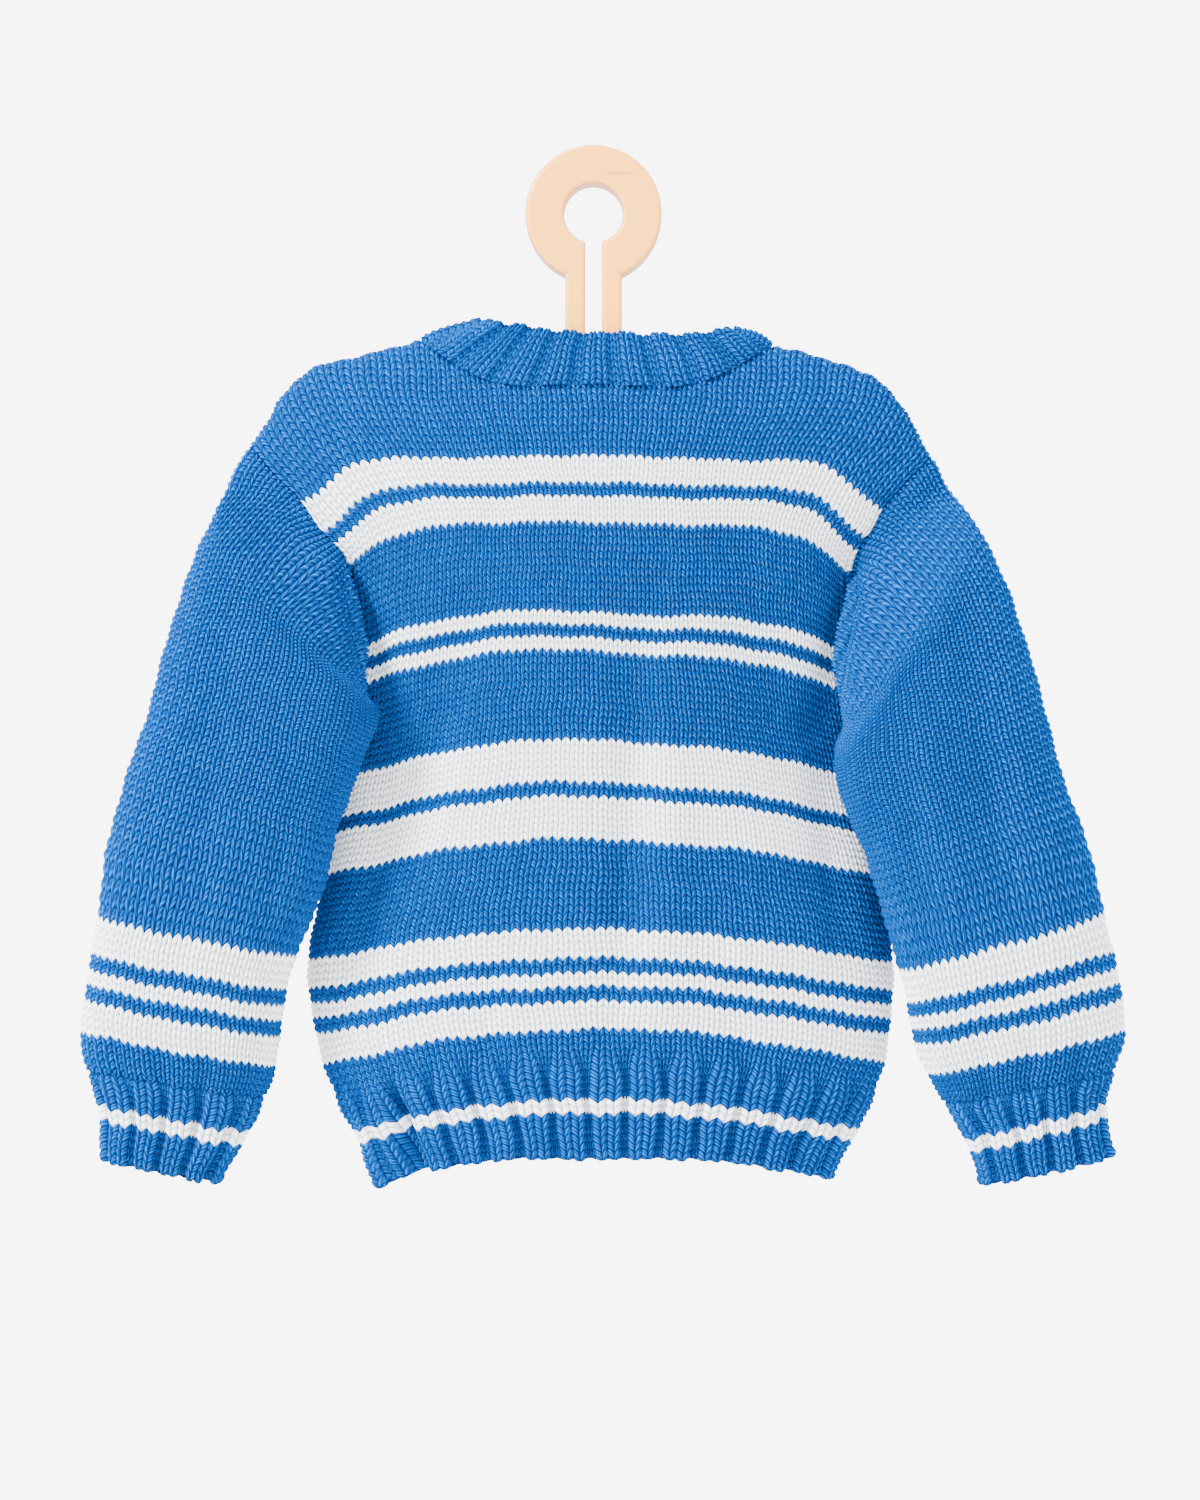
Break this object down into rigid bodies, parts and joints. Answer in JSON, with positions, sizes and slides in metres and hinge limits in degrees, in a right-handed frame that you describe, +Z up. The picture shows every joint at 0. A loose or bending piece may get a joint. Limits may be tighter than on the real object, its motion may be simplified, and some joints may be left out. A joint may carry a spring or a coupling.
{
  "type": "striped hand-knitted child's cardigan on a flat plywood hanger",
  "caption": "Child's hand-knitted cardigan in blue with white stripes, ribbed hem, cuffs and neckband, hanging by its shoulders on a flat plywood hanger with a ring.",
  "frame": {"origin": "the highest point inside the round hole of the hanger's ring, in the middle of the plate, where the nail or peg bears", "axes": "+Z up as it hangs; +Y through the plate, from the cardigan's back towards its fronts and the wall; +X to the right when the back is looked at, the wearer's right"},
  "size_m": [0.4288, 0.0745, 0.4319],
  "materials": {
    "blue_knit": "hand-knitted wool in bright blue with white stripes, matt and slightly hairy",
    "button_blue": "satin polished",
    "birch_plywood": "sanded, clear matt varnish"
  },
  "bodies": {
    "root": {"back": "blue_knit", "front_left": "blue_knit", "front_right": "blue_knit", "hem_back": "blue_knit", "hem_front_left": "blue_knit", "hem_front_right": "blue_knit", "sleeve_left": "blue_knit", "sleeve_right": "blue_knit", "cuff_left": "blue_knit", "cuff_right": "blue_knit", "neckband": "blue_knit", "buttonhole_band": "blue_knit", "button_band": "blue_knit", "button_1": "button_blue", "button_2": "button_blue", "button_3": "button_blue", "button_4": "button_blue", "button_5": "button_blue", "hanger": "birch_plywood"}
  },
  "joints": []
}
